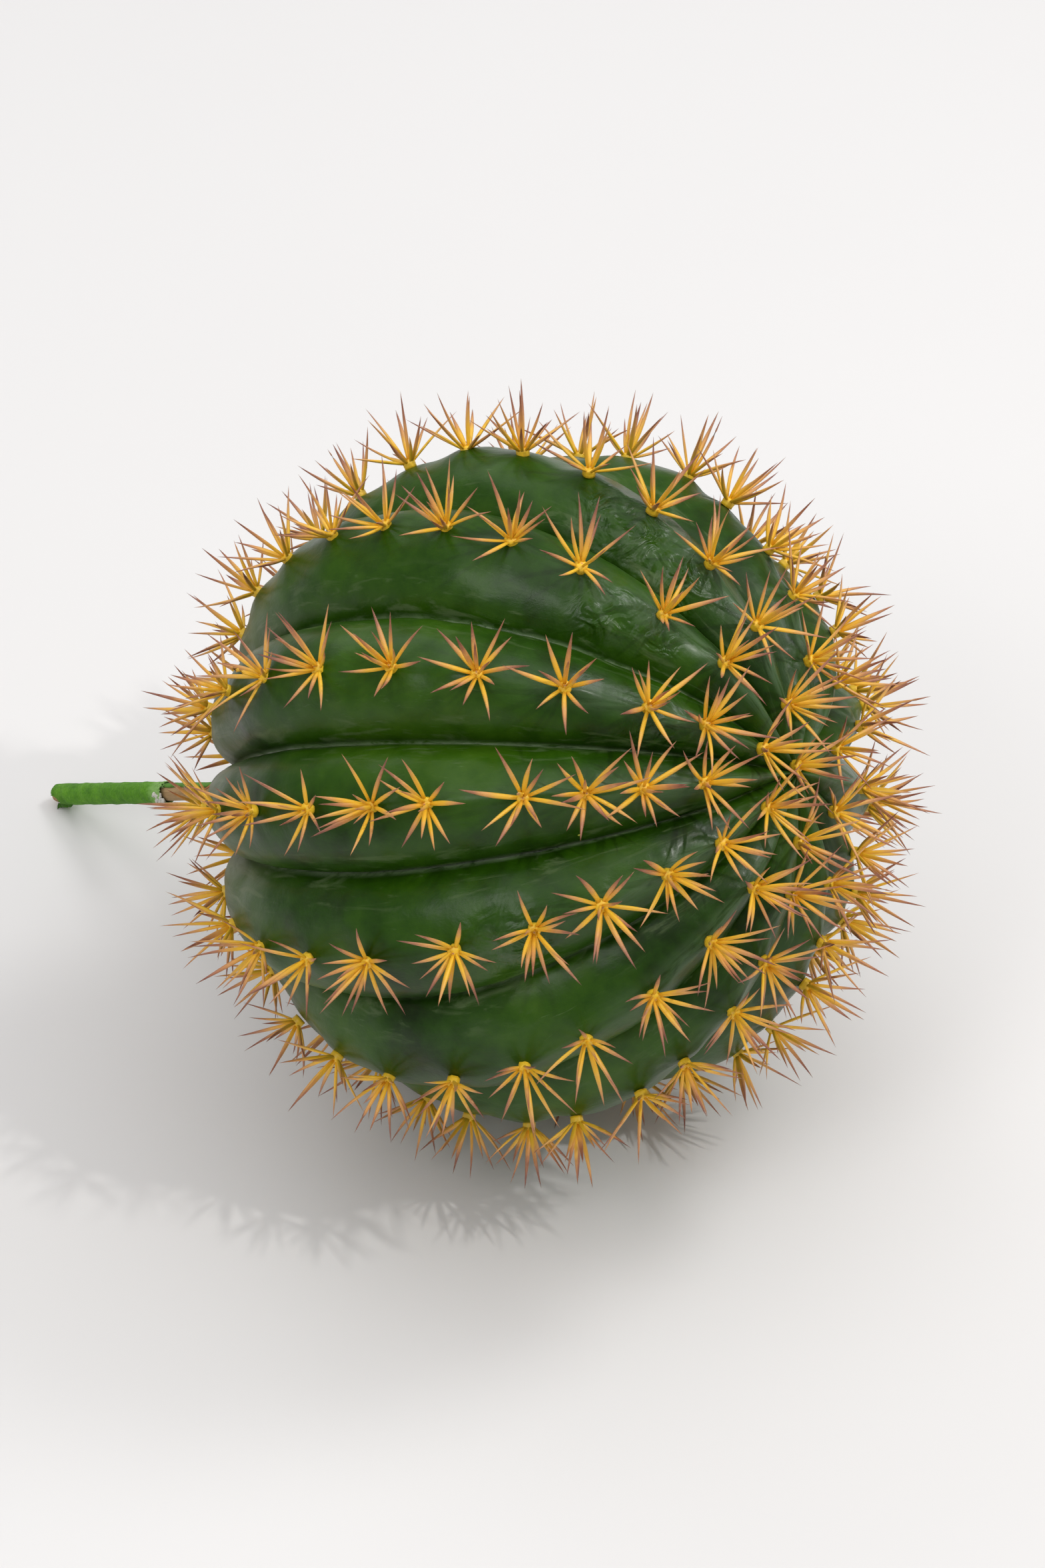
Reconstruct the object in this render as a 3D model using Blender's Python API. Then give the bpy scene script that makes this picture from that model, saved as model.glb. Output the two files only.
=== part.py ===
"""Artificial round cactus on a taped stick, lying as it comes to rest.

Units are metres and +Z is up. The ribbed body leans back with its crown raised: it stands on the
tips of its lowest spines and on the end of the stick that is glued into its base. The crown points
along +X in plan. The origin is at the centre of the footprint, on the surface it lies on.
"""
import random
from math import acos, atan2, cos, degrees, exp, pi, radians, sin

import bmesh
import bpy
import numpy as np
from mathutils import Matrix, Vector

MM = 0.001
GAP = 0.3 * MM

# Body: a barrel that is close to a ball, with rounded ribs and narrow creased grooves.
BODY_RADIUS = 85.0 * MM
BODY_TILT = radians(25.3)
CENTRE_HEIGHT = 1.10 * BODY_RADIUS
WAIST_BULGE = 0.030
BASE_TAPER = 0.020
CROWN_DIMPLE = 0.05
CROWN_DIMPLE_WIDTH = radians(14)
BASE_HOLLOW = 0.16
BASE_HOLLOW_WIDTH = radians(24)
RIB_COUNT = 13
GROOVE_DEPTH = 0.16
GROOVE_FADE = 0.6
RING_COUNT = 24
RIB_SAMPLES = (0.0, 0.42, 0.78)

# Where each rib runs, in degrees about the axis from the top line, with its moulded unevenness.
FIRST_RIB = -51.2
RIB_WANDER = (0.0, 4.5, 3.5, 3.5, -1.5, -3.5, -3.0, -4.0, 2.0, 1.5, 1.0, 0.5, 0.0)

# Spine clusters: the angle from the crown of the first one on each rib, and the step between them.
FIRST_CLUSTER = (19.5, 25.9, 24.4, 24.0, 23.8, 22.2, 20.8, 20.4, 21.5, 24.5, 20.5, 23.5, 21.0)
CLUSTER_STEP = (11.8, 12.7, 12.7, 13.4, 11.9, 13.3, 13.2, 11.5, 11.6, 12.6, 12.9, 12.3, 12.6)
CLUSTERS_PER_RIB = 11
EVEN_NUDGE = (0.0, 0.8, -0.6, 0.5, -1.0, 1.2, -0.4, 0.9, -0.8, 0.4, 0.0)
UNEVEN_RIBS = {
    1: (0.0, 0.0, 0.5, 1.0, 1.5, 0.0),
    2: (1.0, 1.0, 3.5, 3.0, 2.0, 1.0),
    3: (1.0, -2.0, -1.5, -1.0, 0.0, 0.5),
    4: (1.0, 0.0, -2.5, -4.5, -1.0, -3.5, -3.0, -1.0),
    5: (1.5, -1.0, -2.5, -4.5, -4.5, -2.0, -2.0, -2.0, -1.5),
    6: (2.0, 0.0, -0.5, -0.5, -2.0, -1.5, -1.0, -1.0, -1.0),
}
INNER_CLUSTER = 12.0
APEX_CLUSTER = 1.5
RUN_NAMES = ("crown", "upper", "lower", "base")
RUN_LENGTH = 3

# One cluster: a low boss with a ring of steep spines and a ring of spread ones.
HUB_RADIUS = 2.4 * MM
HUB_FLOOR = 0.5
HUB_LIFT = HUB_RADIUS * HUB_FLOOR + GAP
SPINE_LENGTH = 19.0 * MM
STEEP_SPINE = radians(34)
SPREAD_SPINE = radians(68)
SPINE_JITTER = radians(7)
SPINE_BASE_RADIUS = 0.9 * MM
SHORTENING = (1.0, 0.88, 0.76, 0.64, 0.52, 0.40, 0.28)

# Stick: a wooden dowel glued into the base, its outer end wrapped in paper tape.
STICK_RADIUS = 2.4 * MM
STICK_YAW = radians(10.4)
STICK_DROP = radians(30.1)
STICK_ROOT = 0.62
STICK_SIDES = 20
STICK_BEYOND_TAPE = 1.0 * MM
TAPE_INNER_RADIUS = STICK_RADIUS + GAP
TAPE_RADIUS = 3.15 * MM
TAPE_LENGTH = 50.0 * MM
SOCKET_DEPTH = 1.5 * MM

GREEN = (0.020, 0.075, 0.018, 1.0)
SPINE_YELLOW = (0.78, 0.42, 0.06, 1.0)
TAPE_GREEN = (0.05, 0.27, 0.03, 1.0)
WOOD = (0.42, 0.26, 0.12, 1.0)


def clear_scene():
    for item in list(bpy.data.objects):
        bpy.data.objects.remove(item, do_unlink=True)


def make_material(name, colour, roughness):
    material = bpy.data.materials.new(name)
    material.use_nodes = True
    shader = material.node_tree.nodes["Principled BSDF"]
    shader.inputs["Base Color"].default_value = colour
    shader.inputs["Roughness"].default_value = roughness
    shader.inputs["Metallic"].default_value = 0.0
    return material


def make_object(name, mesh, material, parent, smooth_angle=None):
    """Put a mesh in the scene as one named piece with its own material."""
    if smooth_angle is not None:
        mesh.shade_smooth()
        mesh.set_sharp_from_angle(angle=smooth_angle)
    mesh.materials.append(material)
    piece = bpy.data.objects.new(name, mesh)
    bpy.context.scene.collection.objects.link(piece)
    piece.parent = parent
    return piece


def mesh_from(name, vertices, faces):
    mesh = bpy.data.meshes.new(name)
    mesh.from_pydata([tuple(vertex) for vertex in vertices], [], faces)
    mesh.update()
    return mesh


# ---------------------------------------------------------------- body shape

def body_frame():
    """The body's own axes in world space: top line, near side and crown axis."""
    top_line = Vector((-sin(BODY_TILT), 0, cos(BODY_TILT)))
    crown = Vector((cos(BODY_TILT), 0, sin(BODY_TILT)))
    side = crown.cross(top_line)
    rotation = Matrix((top_line, side, crown)).transposed().to_4x4()
    return Matrix.Translation((0, 0, CENTRE_HEIGHT)) @ rotation


def rib_angle(rib):
    """Angle of a rib's crest about the axis."""
    turn, index = divmod(rib, RIB_COUNT)
    return 2 * pi * turn + radians(FIRST_RIB + 360 / RIB_COUNT * index + RIB_WANDER[index])


def crest_radius(polar):
    """Distance of a rib's crest from the centre, at an angle from the crown."""
    waist = 0.995 + WAIST_BULGE * sin(polar) ** 2 - BASE_TAPER * (1 - cos(polar)) / 2
    crown = CROWN_DIMPLE * exp(-(polar / CROWN_DIMPLE_WIDTH) ** 2)
    base = BASE_HOLLOW * exp(-((pi - polar) / BASE_HOLLOW_WIDTH) ** 2)
    return BODY_RADIUS * (waist - crown - base)


def rib_profile(across):
    """Drop from crest (0) to groove (1): round on top, steep where two ribs meet."""
    return 1 - (1 - min(1.0, abs(across)) ** 2) ** 0.55


def surface_radius(polar, across):
    depth = GROOVE_DEPTH * sin(polar) ** GROOVE_FADE
    return crest_radius(polar) * (1 - depth * rib_profile(across))


def across_rib(azimuth):
    """How far an azimuth lies from its nearest crest, 0 on it and 1 in the groove."""
    for rib in range(RIB_COUNT):
        start = rib_angle(rib)
        step = (azimuth - start) % (2 * pi)
        width = rib_angle(rib + 1) - start
        if step < width:
            return 1 - abs(2 * step / width - 1)
    return 1.0


def on_body(polar, azimuth, radius):
    """A point in the body's own axes."""
    return Vector((radius * sin(polar) * cos(azimuth), radius * sin(polar) * sin(azimuth),
                   radius * cos(polar)))


def body_columns():
    """Azimuths of the body's mesh columns, each with its place across the rib."""
    columns = []
    for rib in range(RIB_COUNT):
        start = rib_angle(rib)
        half = (rib_angle(rib + 1) - start) / 2
        columns += [(start + half * across, across) for across in RIB_SAMPLES]
        columns.append((start + half, 1.0))
        columns += [(start + half * (2 - across), across) for across in reversed(RIB_SAMPLES[1:])]
    return columns


def build_body(material, parent, stick):
    columns = body_columns()
    rings = [pi * (ring + 1) / (RING_COUNT + 1) for ring in range(RING_COUNT)]
    vertices = [on_body(polar, azimuth, surface_radius(polar, across))
                for polar in rings for azimuth, across in columns]
    crown_point = len(vertices)
    vertices += [on_body(0, 0, crest_radius(0)), on_body(pi, 0, crest_radius(pi))]
    base_point = crown_point + 1
    count = len(columns)
    faces = []
    for ring in range(RING_COUNT - 1):
        for column in range(count):
            near = ring * count + column
            beside = ring * count + (column + 1) % count
            faces.append((near, near + count, beside + count, beside))
    last = (RING_COUNT - 1) * count
    for column in range(count):
        beside = (column + 1) % count
        faces.append((crown_point, column, beside))
        faces.append((base_point, last + beside, last + column))
    frame = body_frame()
    mesh = mesh_from("cactus_body", [frame @ vertex for vertex in vertices], faces)
    body = make_object("cactus_body", mesh, material, parent, radians(50))
    cut = body.modifiers.new("stick_socket", "BOOLEAN")
    cut.operation = "DIFFERENCE"
    cut.solver = "EXACT"
    cut.object = build_socket_cutter(parent, stick)
    return body


# ---------------------------------------------------------------- stick and tape

def stick_line():
    """Root inside the body, outward direction and length, so that the taped end meets the floor."""
    root = body_frame() @ Vector((0, 0, -STICK_ROOT * BODY_RADIUS))
    flat = cos(STICK_DROP)
    outward = Vector((-flat * cos(STICK_YAW), flat * sin(STICK_YAW), -sin(STICK_DROP)))
    tape_end_height = TAPE_RADIUS * cos(STICK_DROP)
    length = (root.z - tape_end_height) / sin(STICK_DROP)
    return root, outward, length


def placed_along(start, direction):
    """A frame at start whose +Z runs along direction."""
    return Matrix.Translation(start) @ direction.to_track_quat("Z", "X").to_matrix().to_4x4()


def tube_mesh(name, frame, sections, sides, inner=None):
    """A turned piece from (distance, radius) sections, solid or with a bore of radius inner."""
    rings = list(sections)
    if inner is not None:
        rings += [(sections[-1][0], inner), (sections[0][0], inner)]
    vertices = []
    for distance, radius in rings:
        for side in range(sides):
            turn = 2 * pi * side / sides
            vertices.append(frame @ Vector((radius * cos(turn), radius * sin(turn), distance)))
    faces = []
    loops = len(rings) if inner is not None else len(rings) - 1
    for ring in range(loops):
        after = (ring + 1) % len(rings)
        for side in range(sides):
            beside = (side + 1) % sides
            faces.append((ring * sides + side, ring * sides + beside,
                          after * sides + beside, after * sides + side))
    if inner is None:
        faces.append(tuple(reversed(range(sides))))
        faces.append(tuple(range((len(rings) - 1) * sides, len(rings) * sides)))
    return mesh_from(name, vertices, faces)


def build_socket_cutter(parent, stick):
    root, outward, _ = stick
    frame = placed_along(root - outward * SOCKET_DEPTH, outward)
    mesh = tube_mesh("stick_socket_cutter", frame,
                     [(0, STICK_RADIUS + GAP), (BODY_RADIUS * 0.6, STICK_RADIUS + GAP)], STICK_SIDES)
    cutter = bpy.data.objects.new("stick_socket_cutter", mesh)
    bpy.context.scene.collection.objects.link(cutter)
    cutter.parent = parent
    cutter.hide_render = True
    cutter.display_type = "WIRE"
    return cutter


def build_stick(material, parent, stick):
    root, outward, length = stick
    end = length + STICK_BEYOND_TAPE
    bevel = 0.4 * MM
    sections = [(0, STICK_RADIUS - bevel), (bevel, STICK_RADIUS), (end - bevel, STICK_RADIUS),
                (end, STICK_RADIUS - bevel)]
    mesh = tube_mesh("stem_stick", placed_along(root, outward), sections, STICK_SIDES)
    return make_object("stem_stick", mesh, material, parent, radians(40))


def build_tape(material, parent, stick):
    root, outward, length = stick
    start = length - TAPE_LENGTH
    lip = 0.15 * MM
    sections = [(start, TAPE_RADIUS - lip), (start + 2 * MM, TAPE_RADIUS), (length, TAPE_RADIUS)]
    mesh = tube_mesh("stem_tape", placed_along(root, outward), sections, STICK_SIDES,
                     TAPE_INNER_RADIUS)
    return make_object("stem_tape", mesh, material, parent, radians(40))


# ---------------------------------------------------------------- spine clusters

def cluster_angles(rib):
    """Angles from the crown of a rib's clusters; every second rib has one more at the crown."""
    nudge = UNEVEN_RIBS.get(rib, EVEN_NUDGE)
    angles = [FIRST_CLUSTER[rib] + CLUSTER_STEP[rib] * place for place in range(CLUSTERS_PER_RIB)]
    angles = [angle + shift for angle, shift in zip(angles, nudge)] + angles[len(nudge):]
    if rib % 2 and rib < RIB_COUNT - 1:
        angles.insert(0, INNER_CLUSTER)
    return [radians(angle) for angle in angles]


def hub_frame(polar, azimuth):
    """Frame of a boss on a crest: +Z leaves the skin and +X runs along the rib to the crown."""
    step = 0.01
    here = on_body(polar, azimuth, crest_radius(polar))
    before = on_body(polar - step, azimuth, crest_radius(polar - step))
    after = on_body(polar + step, azimuth, crest_radius(polar + step))
    along = (before - after).normalized()
    aside = Vector((-sin(azimuth), cos(azimuth), 0))
    outward = along.cross(aside)
    if outward.dot(here) < 0:
        outward = -outward
        aside = -aside
    centre = here + outward * HUB_LIFT
    rotation = Matrix((along, aside, outward)).transposed().to_4x4()
    return body_frame() @ Matrix.Translation(centre) @ rotation


def hub_mesh_data():
    """A boss with twenty facets, flat below, turned so that an upper facet faces +X."""
    shape = bmesh.new()
    bmesh.ops.create_icosphere(shape, subdivisions=1, radius=HUB_RADIUS)
    shape.normal_update()
    tallest = max(shape.verts, key=lambda vertex: vertex.co.z)
    upright = tallest.co.rotation_difference(Vector((0, 0, 1))).to_matrix()
    bmesh.ops.rotate(shape, verts=shape.verts, cent=(0, 0, 0), matrix=upright)
    shape.normal_update()
    facet = max(shape.faces, key=lambda face: face.calc_center_median().z)
    turn = atan2(facet.calc_center_median().y, facet.calc_center_median().x)
    bmesh.ops.rotate(shape, verts=shape.verts, cent=(0, 0, 0), matrix=Matrix.Rotation(-turn, 3, "Z"))
    for vertex in shape.verts:
        vertex.co.z = max(vertex.co.z, -HUB_RADIUS * HUB_FLOOR)
    shape.normal_update()
    vertices = [vertex.co.copy() for vertex in shape.verts]
    faces = [tuple(vertex.index for vertex in face.verts) for face in shape.faces]
    shape.free()
    return vertices, faces


def facet_rings(vertices, faces):
    """Facets that carry spines: the five steep ones and the five below them, by azimuth."""
    rings = {"steep": [], "spread": []}
    for index, face in enumerate(faces):
        a, b, c = (vertices[corner] for corner in face)
        normal = (b - a).cross(c - a).normalized()
        lean = degrees(acos(max(-1.0, min(1.0, normal.z))))
        turn = atan2(normal.y, normal.x)
        if lean < 50:
            rings["steep"].append((round(degrees(turn)) % 360, index, turn))
        elif lean < 88 and (a + b + c).z > 0:
            rings["spread"].append((round(degrees(turn)) % 360, index, turn))
    return {name: sorted(ring) for name, ring in rings.items()}


def separations(start, end, others):
    """Least distance from one segment to many, and where on each segment it is."""
    p, q = np.array(start), np.array(end)
    a, b = others[:, 0:3], others[:, 3:6]
    d1, d2 = q - p, b - a
    r = p - a
    aa = max(float(d1 @ d1), 1e-12)
    ee = np.maximum((d2 * d2).sum(1), 1e-12)
    ff = (d2 * r).sum(1)
    cc = r @ d1
    bb = d2 @ d1
    denominator = np.maximum(aa * ee - bb * bb, 1e-18)
    s = np.clip((bb * ff - cc * ee) / denominator, 0, 1)
    t = np.clip((bb * s + ff) / ee, 0, 1)
    s = np.clip((bb * t - cc) / aa, 0, 1)
    near = p + s[:, None] * d1 - (a + t[:, None] * d2)
    return np.sqrt((near * near).sum(1)), s, t


class Clearance:
    """What the spines have to stay clear of: bosses, spines already placed, body and floor."""

    def __init__(self):
        self.rows = []
        self.to_body = body_frame().inverted()

    def add(self, start, end, base_radius, tip_radius, run):
        self.rows.append((*start, *end, base_radius, tip_radius, run))

    def clear_of_others(self, start, end, run):
        rows = np.array([row for row in self.rows if row[8] != run])
        if not len(rows):
            return True
        distance, s, t = separations(start, end, rows)
        own = SPINE_BASE_RADIUS * (1 - s)
        theirs = rows[:, 6] + (rows[:, 7] - rows[:, 6]) * t
        return bool((distance > own + theirs + GAP).all())

    def clear_of_body(self, start, end):
        for place in range(1, 9):
            point = self.to_body @ start.lerp(end, place / 8)
            polar = acos(max(-1.0, min(1.0, point.z / point.length)))
            azimuth = atan2(point.y, point.x)
            skin = surface_radius(polar, across_rib(azimuth))
            if point.length < skin + SPINE_BASE_RADIUS * (1 - place / 8) + GAP:
                return False
        return True

    def grow(self, start, direction, length, run):
        """The spine's tip, as far out as it stays clear, or None where there is no room."""
        for share in SHORTENING:
            end = start + direction * length * share
            if end.z < 0:
                end = start.lerp(end, start.z / (start.z - end.z))
            if (end - start).length < 2.5 * MM:
                return None
            if self.clear_of_others(start, end, run) and self.clear_of_body(start, end):
                self.add(start, end, SPINE_BASE_RADIUS, 0.0, run)
                return end
        return None


def plan_runs():
    """Every run of clusters as (name, hub frames), from the crown to the base along each rib."""
    runs = [("spines_apex", [hub_frame(radians(APEX_CLUSTER), rib_angle(2))])]
    for rib in range(RIB_COUNT):
        frames = [hub_frame(polar, rib_angle(rib)) for polar in cluster_angles(rib)]
        for part, label in enumerate(RUN_NAMES):
            picked = frames[part * RUN_LENGTH:(part + 1) * RUN_LENGTH]
            if picked:
                runs.append((f"spines_rib_{rib + 1:02d}_{label}", picked))
    return runs


def spine_direction(frame, lean, turn):
    local = Vector((sin(lean) * cos(turn), sin(lean) * sin(turn), cos(lean)))
    return (frame.to_3x3() @ local).normalized()


def build_cluster(name, frame, next_frame, hub, room, run, draw):
    """One boss with its spines; the spine toward the crown reaches the next boss of the run."""
    vertices, faces = hub
    rings = facet_rings(vertices, faces)
    points = [frame @ vertex for vertex in vertices]
    tips = {}
    if next_frame is not None:
        link = rings["spread"][0][1]
        tips[link] = next_frame.translation.copy()
    for ring, lean in (("steep", STEEP_SPINE), ("spread", SPREAD_SPINE)):
        for _, facet, turn in rings[ring]:
            shift = draw.uniform(-1, 1)
            tilt = draw.uniform(-1, 1)
            share = draw.uniform(0.86, 1.04)
            if facet in tips:
                continue
            start = sum((points[corner] for corner in faces[facet]), Vector()) / 3
            direction = spine_direction(frame, lean + tilt * SPINE_JITTER, turn + shift * SPINE_JITTER)
            tip = room.grow(start, direction, SPINE_LENGTH * share, run)
            if tip is not None:
                tips[facet] = tip
    solid = []
    for index, face in enumerate(faces):
        if index not in tips:
            solid.append(face)
            continue
        peak = len(points)
        points.append(tips[index])
        solid += [(face[0], face[1], peak), (face[1], face[2], peak), (face[2], face[0], peak)]
    return mesh_from(name, points, solid)


def build_run(name, meshes, material, parent):
    """A run's clusters joined where one cluster's spine meets the next boss."""
    first = make_object(name, meshes[0], material, parent, radians(30))
    for place, mesh in enumerate(meshes[1:], start=2):
        other = make_object(f"{name}_joined_{place}", mesh, material, parent, radians(30))
        other.hide_render = True
        other.display_type = "WIRE"
        join = first.modifiers.new(f"join_{place}", "BOOLEAN")
        join.operation = "UNION"
        join.solver = "EXACT"
        join.object = other
    return first


def build_spines(material, parent):
    draw = random.Random(13)
    hub = hub_mesh_data()
    runs = plan_runs()
    room = Clearance()
    for number, (name, frames) in enumerate(runs):
        for place, frame in enumerate(frames):
            spot = frame.translation
            room.add(spot, spot, HUB_RADIUS, HUB_RADIUS, number)
            if place:
                room.add(spot, frames[place - 1].translation, SPINE_BASE_RADIUS, 0.0, number)
    root, outward, length = stick_line()
    room.add(root, root + outward * length, TAPE_RADIUS, TAPE_RADIUS, len(runs))
    for number, (name, frames) in enumerate(runs):
        meshes = []
        for place, frame in enumerate(frames):
            toward_crown = frames[place - 1] if place else None
            meshes.append(build_cluster(f"{name}_{place}", frame, toward_crown, hub, room, number, draw))
        build_run(name, meshes, material.copy(), parent)


def centre_footprint(parent):
    """Move the whole part so that the origin is under the middle of its box."""
    corners = [parent.matrix_world.inverted() @ piece.matrix_world @ vertex.co
               for piece in parent.children if not piece.hide_render for vertex in piece.data.vertices]
    middle_x = (min(c.x for c in corners) + max(c.x for c in corners)) / 2
    middle_y = (min(c.y for c in corners) + max(c.y for c in corners)) / 2
    parent.location = (-middle_x, -middle_y, 0)


def main():
    clear_scene()
    parent = bpy.data.objects.new("cactus_placement", None)
    bpy.context.scene.collection.objects.link(parent)
    stick = stick_line()
    build_body(make_material("green_skin", GREEN, 0.32), parent, stick)
    build_stick(make_material("bare_wood", WOOD, 0.8), parent, stick)
    build_tape(make_material("green_tape", TAPE_GREEN, 0.9), parent, stick)
    build_spines(make_material("spine_plastic", SPINE_YELLOW, 0.45), parent)
    centre_footprint(parent)
    bpy.context.view_layer.update()


main()
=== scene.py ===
"""Looks of the artificial round cactus: moulded skin, plastic spine clusters and the taped stick.

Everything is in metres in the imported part's frame. The body's shape follows the same rules as the
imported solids, with the fine relief added: sagging crests, pinched skin round each boss, creased
grooves, dents and wrinkles.
"""

import random
from math import acos, cos, pi, radians, sin

import bpy
import numpy as np
from mathutils import Matrix, Vector


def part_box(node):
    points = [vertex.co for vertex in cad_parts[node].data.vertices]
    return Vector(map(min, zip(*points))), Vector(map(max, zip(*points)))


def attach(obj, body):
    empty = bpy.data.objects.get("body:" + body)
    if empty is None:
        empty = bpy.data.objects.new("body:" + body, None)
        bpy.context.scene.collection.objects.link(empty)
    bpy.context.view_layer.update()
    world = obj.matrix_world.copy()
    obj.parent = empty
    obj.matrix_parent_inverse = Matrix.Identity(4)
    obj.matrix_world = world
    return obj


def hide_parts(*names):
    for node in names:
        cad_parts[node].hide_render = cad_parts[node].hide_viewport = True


MM = 0.001

# The body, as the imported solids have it.
BODY_RADIUS = 85.0 * MM
BODY_TILT = radians(25.3)
CENTRE_HEIGHT = 1.10 * BODY_RADIUS
WAIST_BULGE = 0.030
BASE_TAPER = 0.020
CROWN_DIMPLE = 0.05
CROWN_DIMPLE_WIDTH = radians(14)
BASE_HOLLOW = 0.16
BASE_HOLLOW_WIDTH = radians(24)
RIB_COUNT = 13
GROOVE_DEPTH = 0.16
GROOVE_FADE = 0.6
FIRST_RIB = -51.2
RIB_WANDER = (0.0, 4.5, 3.5, 3.5, -1.5, -3.5, -3.0, -4.0, 2.0, 1.5, 1.0, 0.5, 0.0)

# Where the spine clusters sit on each rib, in degrees from the crown.
FIRST_CLUSTER = (19.5, 25.9, 24.4, 24.0, 23.8, 22.2, 20.8, 20.4, 21.5, 24.5, 20.5, 23.5, 21.0)
CLUSTER_STEP = (11.8, 12.7, 12.7, 13.4, 11.9, 13.3, 13.2, 11.5, 11.6, 12.6, 12.9, 12.3, 12.6)
CLUSTERS_PER_RIB = 11
EVEN_NUDGE = (0.0, 0.8, -0.6, 0.5, -1.0, 1.2, -0.4, 0.9, -0.8, 0.4, 0.0)
UNEVEN_RIBS = {
    1: (0.0, 0.0, 0.5, 1.0, 1.5, 0.0),
    2: (1.0, 1.0, 3.5, 3.0, 2.0, 1.0),
    3: (1.0, -2.0, -1.5, -1.0, 0.0, 0.5),
    4: (1.0, 0.0, -2.5, -4.5, -1.0, -3.5, -3.0, -1.0),
    5: (1.5, -1.0, -2.5, -4.5, -4.5, -2.0, -2.0, -2.0, -1.5),
    6: (2.0, 0.0, -0.5, -0.5, -2.0, -1.5, -1.0, -1.0, -1.0),
}
INNER_CLUSTER = 12.0
APEX_CLUSTER = 1.5
RUN_NAMES = ("crown", "upper", "lower", "base")
RUN_LENGTH = 3

# The stick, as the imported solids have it.
STICK_YAW = radians(10.4)
STICK_DROP = radians(30.1)
STICK_ROOT = 0.62
TAPE_RADIUS = 3.15 * MM
TAPE_LENGTH = 50.0 * MM

# Resolution of the skin: rings from crown to base, columns across each rib.
SKIN_RINGS = 230
SKIN_COLUMNS = 32

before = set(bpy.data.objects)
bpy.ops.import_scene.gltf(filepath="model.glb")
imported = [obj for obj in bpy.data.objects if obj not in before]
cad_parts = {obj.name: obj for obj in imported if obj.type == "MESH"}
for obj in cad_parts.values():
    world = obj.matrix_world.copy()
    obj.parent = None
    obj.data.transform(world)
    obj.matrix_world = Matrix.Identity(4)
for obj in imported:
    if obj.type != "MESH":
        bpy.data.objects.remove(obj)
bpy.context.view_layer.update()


# ---- shared shape ----

def rib_angle(rib):
    turn, index = divmod(rib, RIB_COUNT)
    return 2 * pi * turn + radians(FIRST_RIB + 360 / RIB_COUNT * index + RIB_WANDER[index])


def crest_radius(polar):
    waist = 0.995 + WAIST_BULGE * np.sin(polar) ** 2 - BASE_TAPER * (1 - np.cos(polar)) / 2
    crown = CROWN_DIMPLE * np.exp(-(polar / CROWN_DIMPLE_WIDTH) ** 2)
    base = BASE_HOLLOW * np.exp(-((pi - polar) / BASE_HOLLOW_WIDTH) ** 2)
    return BODY_RADIUS * (waist - crown - base)


def on_body(polar, azimuth, radius):
    """Points in the body's own axes, whose Z runs to the crown."""
    return np.stack([radius * np.sin(polar) * np.cos(azimuth),
                     radius * np.sin(polar) * np.sin(azimuth),
                     radius * np.cos(polar)], axis=-1)


def body_turn():
    top_line = Vector((-sin(BODY_TILT), 0, cos(BODY_TILT)))
    crown = Vector((cos(BODY_TILT), 0, sin(BODY_TILT)))
    return Matrix((top_line, crown.cross(top_line), crown)).transposed()


def body_placement():
    """The body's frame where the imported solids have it: their box fixes the footprint."""
    turn = body_turn()
    polar = np.linspace(0.02, pi - 0.02, 181)[:, None]
    azimuth = np.array([rib_angle(rib) for rib in range(RIB_COUNT)])[None, :]
    crests = on_body(polar, azimuth + 0 * polar, crest_radius(polar) + 0 * azimuth)
    world = crests.reshape(-1, 3) @ np.array(turn).T
    low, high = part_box("cactus_body")
    shift_x = low[0] - world[:, 0].min()
    shift_y = ((low[1] - world[:, 1].min()) + (high[1] - world[:, 1].max())) / 2
    return Matrix.Translation((shift_x, shift_y, CENTRE_HEIGHT)) @ turn.to_4x4()


PLACEMENT = body_placement()
FROM_WORLD = PLACEMENT.inverted()
PLACEMENT_TURN = np.array(PLACEMENT.to_3x3())
PLACEMENT_SPOT = np.array(PLACEMENT.translation)


def to_world(points):
    return points @ PLACEMENT_TURN.T + PLACEMENT_SPOT


def cluster_angles(rib):
    nudge = UNEVEN_RIBS.get(rib, EVEN_NUDGE)
    angles = [FIRST_CLUSTER[rib] + CLUSTER_STEP[rib] * place for place in range(CLUSTERS_PER_RIB)]
    angles = [angle + shift for angle, shift in zip(angles, nudge)] + angles[len(nudge):]
    if rib % 2 and rib < RIB_COUNT - 1:
        angles.insert(0, INNER_CLUSTER)
    return [radians(angle) for angle in angles]


def waves(points, height, wavelength, seed):
    """Smooth uneven relief: a sum of plane waves in seeded directions."""
    count = 16
    draw = np.random.default_rng(seed)
    total = np.zeros(points.shape[:-1])
    for _ in range(count):
        direction = draw.normal(size=3)
        direction /= np.linalg.norm(direction)
        length = wavelength * draw.uniform(0.7, 1.5)
        total += np.sin(points @ direction * (2 * pi / length) + draw.uniform(0, 2 * pi))
    return height * (total / np.sqrt(count / 2))


def around(radius, turn, along):
    """A point at a distance from the Z axis, a turn round it and a place along it."""
    return Vector((radius * cos(turn), radius * sin(turn), along))


# ---- mesh helpers ----

def tube_quads(rings, sides, first=0):
    """Joins rings of points: each quad has two on a ring, then the two beyond them on the next."""
    for ring in range(rings - 1):
        row = first + ring * sides
        for side in range(sides):
            beside = (side + 1) % sides
            yield row + side, row + beside, row + beside + sides, row + side + sides


def new_piece(name, vertices, faces, material):
    mesh = bpy.data.meshes.new(name)
    mesh.from_pydata(np.asarray(vertices).tolist(), [], faces)
    mesh.update()
    mesh.shade_smooth()
    mesh.materials.append(material)
    piece = bpy.data.objects.new(name, mesh)
    bpy.context.scene.collection.objects.link(piece)
    return piece


def add_values(piece, name, values):
    """A number per vertex that the piece's material reads."""
    layer = piece.data.attributes.new(name, "FLOAT", "POINT")
    layer.data.foreach_set("value", np.asarray(values, dtype=np.float32).ravel())


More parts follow.
